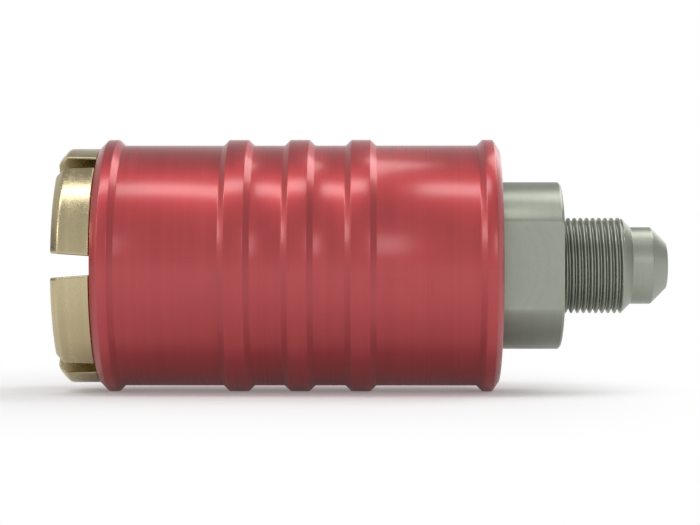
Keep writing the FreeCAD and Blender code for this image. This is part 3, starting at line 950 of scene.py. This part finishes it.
@dataclass
class JawSet:
    """The six gold jaws: chamfered and toothed heads on arms with hooked heels, parted by slots."""

    count: int = 6
    showing: float = 6.42 * MM
    head_length: float = 6.36 * MM
    chamfer_length: float = 1.4 * MM
    chamfer_height: float = 1.5 * MM
    cone_r: float = 18.833 * MM
    cone_end: Point = (9.897 * MM, 17.6 * MM)
    taper_end: Point = (14.897 * MM, 16.628 * MM)
    heel_length: float = 4.9 * MM
    heel_r: float = 12.378 * MM
    arm_inner_r: float = 14.428 * MM
    grip_r: float = 11.1 * MM
    lead_in: float = 1.9 * MM
    tooth_count: int = 5
    tooth_pitch: float = 1.814 * MM
    tooth_land: float = 0.45 * MM
    tooth_depth: float = 0.9 * MM
    tooth_flank: float = 0.52 * MM
    slot_width: float = 3.0 * MM
    slot_front_width: float = 3.9 * MM
    head_round: float = 0.32 * MM
    nose_round: float = 0.4 * MM
    shoulder_round: float = 0.3 * MM
    tooth_round: float = 0.08 * MM
    steps: int = 24
    round_steps: int = 3

    def outline(self, front: float, rear: float, outer_r: float) -> list[JawCorner]:
        """Return the corners of a jaw's section, from the front face over the outside to the teeth.

        Args:
            front: the jaw's front face.
            rear: the end of its heel.
            outer_r: the radius of its head.

        Returns:
            The closed outline.
        """
        head, nose, fine = self.head_round, self.nose_round, self.tooth_round
        shoulder = front + self.head_length
        corners = [
            JawCorner(front, self.grip_r + self.lead_in, head, head),
            JawCorner(front, outer_r - self.chamfer_height, head, head),
            JawCorner(front + self.chamfer_length, outer_r, nose, head),
            JawCorner(shoulder, outer_r, self.shoulder_round, fine),
            JawCorner(shoulder, self.cone_r, fine),
            JawCorner(front + self.cone_end[0], self.cone_end[1]),
            JawCorner(front + self.taper_end[0], self.taper_end[1]),
            JawCorner(rear, self.taper_end[1]),
            JawCorner(rear, self.heel_r),
            JawCorner(rear - self.heel_length, self.heel_r),
            JawCorner(rear - self.heel_length, self.arm_inner_r),
        ]
        first_land = front + self.lead_in
        last_end = first_land + (self.tooth_count - 1) * self.tooth_pitch + self.tooth_land
        corners.append(JawCorner(last_end + self.arm_inner_r - self.grip_r, self.arm_inner_r, fine, fine))
        for tooth in reversed(range(self.tooth_count)):
            land = first_land + tooth * self.tooth_pitch
            corners += [JawCorner(land + self.tooth_land, self.grip_r, fine, fine),
                        JawCorner(land, self.grip_r, fine, fine)]
            if tooth > 0:
                root_r = self.grip_r + self.tooth_depth
                root_front = land - self.tooth_pitch + self.tooth_land + self.tooth_flank
                corners += [JawCorner(land - self.tooth_flank, root_r, fine, fine),
                            JawCorner(root_front, root_r, fine, fine)]
        return corners

    @staticmethod
    def split_at(corners: Sequence[JawCorner], x: float) -> tuple[list[JawCorner], list[int]]:
        """Add a corner wherever the outline crosses a place along the axis.

        Args:
            corners: the closed outline.
            x: the place along the axis.

        Returns:
            The longer outline and the numbers of the two added corners.
        """
        longer: list[JawCorner] = []
        added: list[int] = []
        for index, here in enumerate(corners):
            there = corners[(index + 1) % len(corners)]
            longer.append(here)
            if (here.x - x) * (there.x - x) < 0:
                share = (x - here.x) / (there.x - here.x)
                added.append(len(longer))
                longer.append(JawCorner(x, here.r + share * (there.r - here.r), 0.0, here.slot_rounding))
        return longer, added

    def half_angle(self, x: float, r: float, fold: float) -> float:
        """Return half the angle that a jaw covers beside its slots.

        Args:
            x: the place along the axis.
            r: the radius.
            fold: where the slots begin to widen towards the front.

        Returns:
            The angle in radians.
        """
        flare = (self.slot_front_width - self.slot_width) / self.showing
        half_slot = (self.slot_width + flare * max(0.0, fold - x)) / 2
        return math.pi / self.count - math.asin(half_slot / r)

    def jaw(self, number: int) -> Piece:
        """Make one jaw.

        Args:
            number: 1 for the jaw at the top, then on about +X.

        Returns:
            The jaw, with its edges rounded.
        """
        low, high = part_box("jaw_1")
        fold = low.x + self.showing
        corners, crossings = self.split_at(self.outline(low.x, high.x, high.z), fold)
        middle = TURN * (number - 1) / self.count
        draft = MeshDraft()
        rows = []
        for corner in corners:
            half = self.half_angle(corner.x, corner.r, fold)
            turns = [middle + half * (2 * step / self.steps - 1) for step in range(self.steps + 1)]
            rows.append([turned_point(corner.x, corner.r, turn) for turn in turns])
        numbers = draft.grid(rows, wrap_rows=True, wrap_columns=False)
        first, second = crossings
        for side in (0, -1):
            loop = [row[side] for row in numbers]
            draft.cap(loop[first:second + 1])
            draft.cap(loop[second:] + loop[:first + 1])
        piece = draft.make(f"gold_jaw_{number}")
        self.round_edges(piece, corners, numbers)
        steady_shading(piece)
        return piece

    def round_edges(self, piece: Piece, corners: Sequence[JawCorner],
                    numbers: Sequence[Sequence[int]]) -> None:
        """Round each edge of a jaw by its own amount.

        Args:
            piece: the jaw with sharp edges.
            corners: its outline.
            numbers: the numbers of its points, corner by corner.
        """
        widths: dict[frozenset, float] = {}
        for index, corner in enumerate(corners):
            row, following = numbers[index], numbers[(index + 1) % len(corners)]
            for step in range(self.steps):
                widths[frozenset((row[step], row[step + 1]))] = corner.rounding
            for side in (0, -1):
                widths[frozenset((row[side], following[side]))] = corner.slot_rounding
        weights = piece.data.attributes.new("bevel_weight_edge", "FLOAT", "EDGE")
        for edge in piece.data.edges:
            weights.data[edge.index].value = widths.get(frozenset(edge.vertices), 0.0) / self.nose_round
        modify(piece, "BEVEL", limit_method="WEIGHT", width=self.nose_round, segments=self.round_steps,
               use_clamp_overlap=False)

    def build(self, shop: Workshop) -> None:
        """Make the jaws and dress the ring that spreads them.

        Args:
            shop: dresses the pieces and puts them on their bodies.
        """
        for number in range(1, self.count + 1):
            shop.fit(self.jaw(number), Slot.GOLD, f"jaw_{number}", f"jaw_{number}")
        shop.dress({"jaw_spread_ring": Slot.SPRING})


@dataclass
class HoseEnd:
    """The plated hose end: collar with wrench flats, male thread, flare nose and inner spigot."""

    collar_r: float = 13.87 * MM
    collar_rear: float = -11.6 * MM
    collar_chamfer: float = 0.4 * MM
    wrench_size: float = 23.8 * MM
    flat_edge: float = 0.6
    flat_columns: int = 20
    crease_round: float = 0.1 * MM
    crease_angle: float = 35.0
    crease_steps: int = 2
    thread_r: float = 7.9375 * MM
    thread_length: float = 10.06 * MM
    thread_pitch: float = 1.02 * MM
    thread_depth: float = 0.66 * MM
    thread_start: float = 0.42 * MM
    crest_share: float = 0.09
    root_share: float = 0.1
    crest_power: float = 1.5
    thread_fade: float = 0.5 * MM
    undercut: float = 0.2 * MM
    undercut_slope: float = 1.7
    nose_r: float = 6.375 * MM
    nose_start: float = 11.6225 * MM
    cone_start: float = 15.0 * MM
    tip_r: float = 3.75 * MM
    bore_r: float = 3.0 * MM
    spigot_r: float = 10.5 * MM
    ring_groove: Point = (-15.85 * MM, -14.15 * MM)
    ring_groove_r: float = 8.9 * MM
    mouth_r: float = 8.0 * MM
    pocket_r: float = 5.95 * MM
    clip_groove: Point = (-22.97 * MM, -21.87 * MM)
    clip_groove_r: float = 6.55 * MM
    filter_rear: float = -19.874 * MM
    edge_round: float = 0.2 * MM
    cone_round: float = 0.5 * MM
    columns: int = 96
    pitch_rows: int = 14
    overlap: float = 2.0 * MM
    axis_r: float = 0.1 * MM

    def collar_columns(self) -> list[Point]:
        """Return the collar's section as (angle from the top, radius), with its two flats."""
        flat_r = self.wrench_size / 2
        flat_half = math.acos(flat_r / self.collar_r)
        edge = math.radians(self.flat_edge)
        columns: list[Point] = []
        for facing in (math.pi / 2, 3 * math.pi / 2):
            for step in range(self.flat_columns + 1):
                offset = (flat_half - edge) * (2 * step / self.flat_columns - 1)
                columns.append((facing + offset, flat_r / math.cos(offset)))
            round_share = math.pi - 2 * (flat_half + edge)
            for step in range(2 * self.flat_columns + 1):
                turn = facing + flat_half + edge + round_share * step / (2 * self.flat_columns)
                columns.append((turn, self.collar_r))
        return columns

    def collar_block(self) -> Piece:
        """Make the collar with its chamfered outer face, closed at both ends.

        Returns:
            The block.
        """
        columns = self.collar_columns()
        face_r = self.collar_r - self.collar_chamfer
        rows = [[turned_point(self.collar_rear, r, turn) for turn, r in columns],
                [turned_point(-max(0.0, r - face_r), r, turn) for turn, r in columns],
                [turned_point(0.0, min(r, face_r), turn) for turn, r in columns]]
        block = tube("collar_block", rows, merge=True)
        modify(block, "BEVEL", limit_method="ANGLE", angle_limit=math.radians(self.crease_angle),
               width=self.crease_round, segments=self.crease_steps)
        return block

    def thread_radius(self, x: float, turn: float) -> float:
        """Return the radius of the threaded length.

        Args:
            x: the place along the axis.
            turn: the angle about the axis, in turns.

        Returns:
            The radius, with the undercut at the collar and the chamfer at the end taken off.
        """
        phase = ((x - self.thread_start) / self.thread_pitch - turn) % 1.0
        from_crest = min(phase, 1.0 - phase)
        flank = (from_crest - self.crest_share) / (0.5 - self.crest_share - self.root_share)
        flank = min(max(flank, 0.0), 1.0)
        run_out = (self.thread_length + self.thread_fade / 2 - x) / self.thread_fade
        fall = self.thread_depth * flank ** self.crest_power * min(max(run_out, 0.0), 1.0)
        root_r = self.thread_r - self.thread_depth
        start_r = root_r + max(0.0, x - self.undercut) * self.undercut_slope
        end_r = self.thread_r - max(0.0, x - self.thread_length)
        return min(self.thread_r - fall, start_r, end_r)

    def core(self) -> Piece:
        """Make the spigot, the thread and the flare nose as one closed solid.

        Returns:
            The solid.
        """
        low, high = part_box("flare_adapter")
        turns = [column / self.columns for column in range(self.columns + 1)]
        thread_end = self.thread_length + self.thread_fade / 2
        root_r = self.thread_r - self.thread_depth
        groove_front, groove_rear = self.ring_groove
        spigot_r, groove_r, edge = self.spigot_r, self.ring_groove_r, self.edge_round
        spigot = [Corner(low.x, self.axis_r), Corner(low.x, spigot_r, edge),
                  Corner(groove_front, spigot_r, edge), Corner(groove_front, groove_r),
                  Corner(groove_rear, groove_r), Corner(groove_rear, spigot_r, edge),
                  Corner(self.collar_rear + self.overlap, spigot_r),
                  Corner(-self.overlap, root_r), Corner(-self.undercut, root_r)]
        nose = [Corner(thread_end, self.thread_r - self.thread_fade / 2),
                Corner(self.nose_start, self.nose_r, edge),
                Corner(self.cone_start, self.nose_r, self.cone_round),
                Corner(high.x, self.tip_r, self.cone_round), Corner(high.x, self.axis_r)]
        angles = [TURN * turn for turn in turns]
        rows = rings(spigot, angles)
        first = -self.pitch_rows
        last = math.ceil(thread_end / self.thread_pitch) * self.pitch_rows
        for step in range(first, last + 1):
            row = []
            for turn in turns:
                x = (step / self.pitch_rows + turn) * self.thread_pitch
                x = min(max(x, -self.undercut), thread_end)
                row.append(turned_point(x, self.thread_radius(x, turn), TURN * turn))
            rows.append(row)
        rows += rings(nose, angles)
        draft = MeshDraft()
        numbers = draft.grid(rows, wrap_columns=False)
        draft.cap(numbers[0][:-1])
        draft.cap(numbers[-1][:-1])
        return draft.make("flare_hose_end", merge=True)

    def passage(self) -> Piece:
        """Make the solid of the flow passage, from the spigot's mouth to the flare's tip.

        Returns:
            The solid that is cut away.
        """
        low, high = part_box("flare_adapter")
        clip_front, clip_rear = self.clip_groove
        pocket_r, tip_break = self.pocket_r, self.edge_round
        start, end = low.x - self.overlap, high.x + tip_break
        points = ((start, self.axis_r), (start, self.mouth_r), (low.x, self.mouth_r),
                  (low.x + self.mouth_r - pocket_r, pocket_r), (clip_front, pocket_r),
                  (clip_front, self.clip_groove_r), (clip_rear, self.clip_groove_r), (clip_rear, pocket_r),
                  (self.filter_rear, pocket_r), (self.filter_rear, self.bore_r),
                  (high.x - tip_break, self.bore_r), (end, self.bore_r + 2 * tip_break), (end, self.axis_r))
        corners = [Corner(*point) for point in points]
        return tube("flow_passage", rings(corners, even_angles(self.columns)))

    def build(self, shop: Workshop) -> None:
        """Make the hose end and dress what it holds.

        Args:
            shop: dresses the pieces and puts them on their bodies.
        """
        hose_end = self.core()
        carve(hose_end, self.collar_block(), "UNION")
        carve(hose_end, self.passage(), "DIFFERENCE")
        drop_slivers(hose_end)
        steady_shading(hose_end)
        shop.fit(hose_end, Slot.NICKEL, Carrier.BODY.value, "flare_adapter")
        shop.dress({"adapter_o_ring": Slot.RUBBER, "inlet_filter": Slot.BRONZE,
                    "filter_circlip": Slot.SPRING})


@dataclass
class ValveCore:
    """The barrel with the sprung seal piston and the valve inside it."""

    seal_break: float = 0.3 * MM
    piston_wire: float = 0.9 * MM
    piston_turns: float = 2.0
    poppet_wire: float = 0.8 * MM
    poppet_turns: float = 2.5
    travel: float = 2.0 * MM

    def build(self, shop: Workshop) -> None:
        """Dress the barrel and the valve, and make their two springs.

        Args:
            shop: dresses the pieces and puts them on their bodies.
        """
        for piece in (InnerPiece("turned_barrel", "main_body", Slot.STEEL),
                      InnerPiece("port_piston", "seal_piston", Slot.STEEL, Carrier.PISTON),
                      InnerPiece("face_seal", "front_seal", Slot.RUBBER, Carrier.PISTON, self.seal_break),
                      InnerPiece("piston_clip", "piston_snap_ring", Slot.SPRING),
                      InnerPiece("drilled_guide", "poppet_guide", Slot.STEEL)):
            piece.build(shop)
        shop.dress({"valve_poppet": Slot.STEEL, "piston_o_ring": Slot.RUBBER, "poppet_o_ring": Slot.RUBBER})
        CoilSpring("piston_return_spring", "piston_spring", "piston_slide",
                   self.piston_wire, self.piston_turns, self.travel).build(shop)
        CoilSpring("poppet_return_spring", "poppet_spring", "valve_slide",
                   self.poppet_wire, self.poppet_turns, self.travel).build(shop)


@dataclass(frozen=True)
class Softbox:
    """A flat lamp: its middle, size and brightness, the point that it faces and its turn in degrees.

    Both places are measured from the point that the camera looks at.
    """

    name: str
    place: Place
    length: float
    width: float
    level: float
    faces: Place = (0.0, 0.0, 0.0)
    turn: float = 0.0

    def energy(self) -> float:
        """Return the power that gives the lamp's face its brightness."""
        return self.level * math.pi * self.length * self.width


@dataclass
class Studio:
    """A white floor, a grey room with a white back wall, softboxes, panels and the camera."""

    image_width: float = 700.0
    focal_pixels: float = 2250.0
    sensor: float = 36.0
    camera_place: Place = (-30.7 * MM, -375.0 * MM, 0.5 * MM)
    camera_target: Place = (-34.85 * MM, 0.0, 0.5 * MM)
    softboxes: tuple[Softbox, ...] = (
        Softbox("front_softbox", (-0.176, -0.085, 0.31), 0.42, 0.075, 4.9, faces=(-0.176, -0.085, 0.0)),
        Softbox("back_softbox", (0.235, 0.192, 0.30), 0.45, 0.19, 2.65, faces=(0.235, 0.192, 0.0), turn=46.0),
        Softbox("right_panel", (0.31, 0.50, 0.16), 0.20, 0.24, 1.0),
        Softbox("left_panel", (-0.52, -0.16, 0.215), 0.12, 0.12, 3.8),
        Softbox("camera_panel", (0.205, -0.55, 0.20), 0.18, 0.17, 2.1),
    )
    floor_half: float = 3.0
    floor_colour: Colour = (0.88, 0.88, 0.88)
    near_floor: float = 0.022
    far_floor: float = 0.115
    floor_middle: float = -50.0 * MM
    floor_reach: float = 0.030
    floor_slope: float = 2.5
    floor_glow: float = 0.2
    floor_sheen: float = 0.07
    left_gain: float = 1.3
    left_range: Point = (-0.9, -0.3)
    right_gain: float = 0.85
    right_range: Point = (0.3, 0.9)
    wall_rise: Point = (0.56, 0.6)
    shade_levels: Point = (0.12, 0.85)
    shade_rise: Point = (0.55, 0.72)
    shade_side: Point = (-0.85, -0.55)
    shade_back: Point = (-0.1, 0.15)
    front_to_back: Point = (-0.4, 0.4)
    front_levels: tuple[Point, ...] = ((0.0, 1.0), (0.5, 1.0), (0.53, 0.72), (0.60, 0.72),
                                       (0.72, 0.66), (0.80, 0.64), (0.9, 0.58), (1.0, 0.44))
    back_levels: tuple[Point, ...] = ((0.0, 1.0), (0.56, 1.0), (0.62, 0.78),
                                      (0.72, 0.56), (0.87, 0.39), (1.0, 0.38))

    def aim(self, thing: bpy.types.Object, place: Vector, target: Vector) -> None:
        """Put a camera or lamp at a place and turn it to a target.

        Args:
            thing: the camera or lamp.
            place: where it stands.
            target: the point that it faces.
        """
        thing.location = place
        thing.rotation_euler = (target - place).to_track_quat("-Z", "Y").to_euler()
        bpy.context.scene.collection.objects.link(thing)

    def set_camera(self) -> None:
        """Stand the camera level in front of the coupler."""
        lens = bpy.data.cameras.new("camera")
        lens.sensor_width = self.sensor
        lens.lens = self.focal_pixels / self.image_width * self.sensor
        camera = bpy.data.objects.new("camera", lens)
        self.aim(camera, Vector(self.camera_place), Vector(self.camera_target))
        bpy.context.scene.camera = camera

    def hang_softboxes(self) -> None:
        """Hang the lamps about the coupler, each turned to its point."""
        target = Vector(self.camera_target)
        for box in self.softboxes:
            lamp = bpy.data.lights.new(box.name, "AREA")
            lamp.shape = "RECTANGLE"
            lamp.size, lamp.size_y = box.length, box.width
            lamp.energy = box.energy()
            place = target + Vector(box.place)
            hung = bpy.data.objects.new(box.name, lamp)
            self.aim(hung, place, target + Vector(box.faces))
            hung.rotation_euler.z += math.radians(box.turn)

    def ramp(self, sheet: NodeSheet, rise: Socket, levels: Sequence[Point]) -> Socket:
        """Return a grey that changes with the height of the direction.

        Args:
            sheet: the world's sheet.
            rise: the height, 0 straight down and 1 straight up.
            levels: the grey at each of a few heights.

        Returns:
            The grey as a colour.
        """
        ramp = sheet.add("ShaderNodeValToRGB", {"Fac": rise})
        stops = ramp.color_ramp.elements
        while len(stops) < len(levels):
            stops.new(1.0)
        for stop, (place, level) in zip(stops, levels):
            stop.position = place
            stop.color = opaque((level, level, level))
        return ramp.outputs["Color"]

    def set_room(self) -> None:
        """Make the room: a white wall at the back, greys above it and in front, and a dark left corner."""
        world = bpy.data.worlds.new("grey_room")
        world.use_nodes = True
        bpy.context.scene.world = world
        sheet = NodeSheet(world.node_tree)
        direction = sheet.add("ShaderNodeTexCoord").outputs["Generated"]
        split = sheet.add("ShaderNodeSeparateXYZ", {"Vector": direction}).outputs
        rise = sheet.math("MULTIPLY_ADD", split["Z"], 0.5, 0.5)
        front = self.ramp(sheet, rise, self.front_levels)
        back = self.ramp(sheet, rise, self.back_levels)
        grey = sheet.blend(sheet.spread(split["Y"], *self.front_to_back), front, back)
        left = sheet.spread(split["X"], *self.left_range, self.left_gain, 1.0)
        side = sheet.spread(split["X"], *self.right_range, left, self.right_gain)
        gain = sheet.spread(rise, *self.wall_rise, 1.0, side)
        shade = sheet.spread(rise, *self.shade_rise, *self.shade_levels)
        shade = sheet.spread(split["X"], *self.shade_side, shade, 1.0)
        gain = sheet.math("MULTIPLY", gain, sheet.spread(split["Y"], *self.shade_back, 1.0, shade))
        background = sheet.add("ShaderNodeBackground", {"Color": grey, "Strength": gain})
        sheet.add("ShaderNodeOutputWorld", {"Surface": background.outputs["Background"]})

    def set_floor(self) -> None:
        """Lay the pale floor, which takes the shadow near the coupler and is plain white far from it."""
        half, z = self.floor_half, CAD_BOX[0].z
        draft = MeshDraft()
        draft.grid([[Vector((x, y, z)) for x in (-half, half)] for y in (-half, half)], wrap_columns=False)
        floor = draft.make("floor")
        material = bpy.data.materials.new("floor_white")
        material.use_nodes = True
        sheet = NodeSheet(material.node_tree)
        split = sheet.add("ShaderNodeSeparateXYZ", {"Vector": sheet.place()}).outputs
        beside = sheet.math("ABSOLUTE", sheet.math("SUBTRACT", split["X"], self.floor_middle))
        past = sheet.math("MAXIMUM", sheet.math("SUBTRACT", beside, self.floor_reach), 0.0)
        rays = sheet.add("ShaderNodeLightPath").outputs
        camera = rays["Is Camera Ray"]
        seen = sheet.math("MAXIMUM", camera, rays["Is Glossy Ray"])
        seen = sheet.math("MAXIMUM", seen, rays["Is Transmission Ray"])
        beyond = sheet.math("MULTIPLY", past, sheet.math("MULTIPLY", camera, self.floor_slope))
        squares = [sheet.math("MULTIPLY", value, value) for value in (beyond, split["Y"])]
        fade = sheet.spread(sheet.math("SQRT", sheet.math("ADD", *squares)), self.near_floor, self.far_floor)
        near = sheet.add("ShaderNodeBsdfDiffuse", {"Color": opaque(self.floor_colour)}).outputs["BSDF"]
        far = sheet.add("ShaderNodeEmission", {"Color": opaque(WHITE), "Strength": 1.0}).outputs["Emission"]
        glow = sheet.math("MULTIPLY_ADD", camera, self.floor_glow - self.floor_sheen, self.floor_sheen)
        rest = sheet.math("MULTIPLY", fade, sheet.math("SUBTRACT", 1.0, glow))
        share = sheet.math("MULTIPLY", sheet.math("ADD", rest, glow), seen)
        surface = sheet.run(sheet.add("ShaderNodeMixShader"), share, near, far)
        sheet.add("ShaderNodeOutputMaterial", {"Surface": surface})
        floor.data.materials.append(material)

    def build(self) -> None:
        """Set up the camera, the light and the floor."""
        bpy.context.scene.view_settings.view_transform = "Standard"
        self.set_camera()
        self.hang_softboxes()
        self.set_room()
        self.set_floor()


def main() -> None:
    """Build every sub-assembly in order, then the studio."""
    logging.basicConfig(level=logging.INFO, format="%(message)s")
    shop = Workshop()
    for assembly in (SleeveAssembly(), JawSet(), HoseEnd(), ValveCore()):
        assembly.build(shop)
    Studio().build()


if __name__ == "__main__":
    main()
